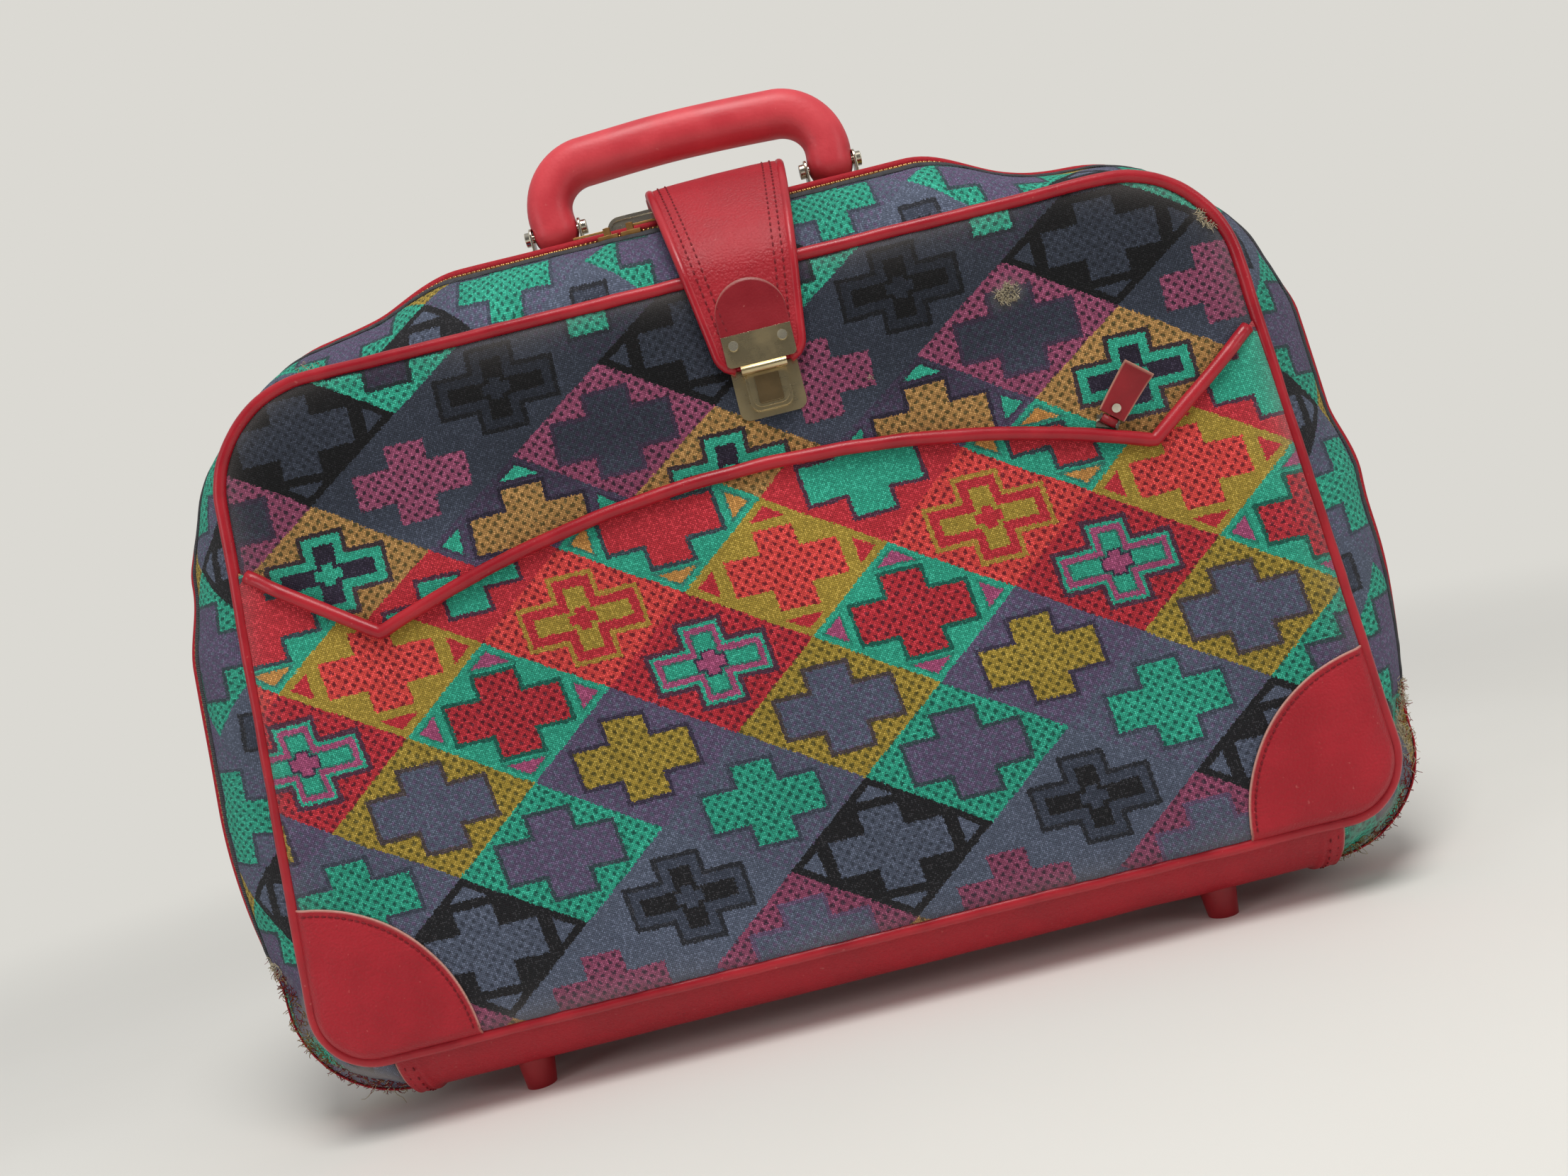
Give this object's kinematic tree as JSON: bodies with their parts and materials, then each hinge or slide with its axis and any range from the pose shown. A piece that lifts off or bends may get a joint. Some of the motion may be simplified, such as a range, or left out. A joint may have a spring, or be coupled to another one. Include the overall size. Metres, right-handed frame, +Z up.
{
  "type": "suitcase",
  "caption": "Soft-sided overnight suitcase in printed cloth with red vinyl trim, zipped gusset, front pocket, strap lock and a swinging handle.",
  "frame": {"origin": "on the floor, under the middle of the case's box", "axes": "+X to the right seen from the front, +Y from front to back, +Z up; it stands on its feet"},
  "size_m": [0.5224, 0.124, 0.3991],
  "materials": {
    "printed_cloth": "coarse woven cotton print",
    "red_vinyl": "soft grained vinyl",
    "red_leather": "smooth split leather",
    "handle_vinyl": "moulded satin vinyl",
    "foot_plastic": "moulded",
    "red_tape": "twill tape",
    "zip_metal": "aged",
    "nickel": "aged nickel plate",
    "lock_metal": "aged plate",
    "fibre_board": "raw"
  },
  "bodies": {
    "case": {"front_cover": "printed_cloth", "back_cover": "printed_cloth", "front_gusset": "printed_cloth", "back_gusset": "printed_cloth", "pocket_front": "printed_cloth", "bottom_strip": "red_vinyl", "front_piping": "red_vinyl", "back_piping": "red_vinyl", "pocket_welt": "red_vinyl", "corner_patch_left": "red_vinyl", "corner_patch_right": "red_vinyl", "strap": "red_vinyl", "strap_bead_left": "red_vinyl", "strap_bead_right": "red_vinyl", "strap_patch": "red_vinyl", "foot_front_left": "foot_plastic", "foot_front_right": "foot_plastic", "foot_back_left": "foot_plastic", "foot_back_right": "foot_plastic", "zip_tape_front": "red_tape", "zip_tape_back": "red_tape", "pocket_zip": "red_tape", "zip_teeth_front": "zip_metal", "zip_teeth_back": "zip_metal", "handle_bracket": "nickel", "bracket_rivets": "nickel", "bracket_backing": "nickel", "handle_clip_left": "nickel", "handle_clip_right": "nickel", "handle_pin_left": "nickel", "handle_pin_right": "nickel", "lock_spring": "nickel", "lock_backing": "nickel", "foot_rivets": "nickel", "hasp_plate": "lock_metal", "hasp_rivets": "lock_metal", "lock_base": "lock_metal", "front_board": "fibre_board", "back_board": "fibre_board", "base_board": "fibre_board"},
    "handle": {"handle_grip": "handle_vinyl"},
    "button": {"lock_button": "lock_metal"},
    "pocket_runner": {"pocket_slider": "nickel"},
    "pocket_pull": {"pocket_tab": "red_leather", "pocket_tab_rivet": "nickel"},
    "zip_runner_left": {"zip_slider_left": "zip_metal"},
    "zip_runner_right": {"zip_slider_right": "zip_metal"},
    "zip_tag_left": {"zip_pull_left": "zip_metal"},
    "zip_tag_right": {"zip_pull_right": "zip_metal"}
  },
  "joints": [
    {"name": "handle_swing", "type": "hinge", "parent": "case", "child": "handle", "pos_m": [0.004, 0.00674, 0.3598], "axis": [1, 0, 0], "range_deg": [-60, 60]},
    {"name": "button_press", "type": "slide", "parent": "case", "child": "button", "axis": [0, 1, 0], "range_m": [0, 0.0016], "stiffness_N_per_m": 400, "springref_m": -0.001, "deforming": ["lock_spring"]},
    {"name": "pocket_zip_run", "type": "hinge", "parent": "case", "child": "pocket_runner", "pos_m": [0, -0.052, -0.23287], "axis": [0, 1, 0], "range_deg": [-35, 0]},
    {"name": "pocket_tab_swing", "type": "hinge", "parent": "pocket_runner", "child": "pocket_pull", "pos_m": [0.14387, -0.05506, 0.21401], "axis": [0.7565, 0, -0.654], "range_deg": [-10, 115]},
    {"name": "zip_run_left", "type": "slide", "parent": "case", "child": "zip_runner_left", "axis": [-1, 0, 0], "range_m": [0, 0.064]},
    {"name": "zip_run_right", "type": "slide", "parent": "case", "child": "zip_runner_right", "axis": [1, 0, 0], "range_m": [0, 0.126]},
    {"name": "zip_tag_left_swing", "type": "hinge", "parent": "zip_runner_left", "child": "zip_tag_left", "pos_m": [-0.036, -0.01041, 0.35003], "axis": [0, 0.9552, 0.2959], "range_deg": [0, 100]},
    {"name": "zip_tag_right_swing", "type": "hinge", "parent": "zip_runner_right", "child": "zip_tag_right", "pos_m": [-0.0258, -0.01041, 0.35003], "axis": [0, -0.9552, -0.2959], "range_deg": [0, 20]}
  ]
}
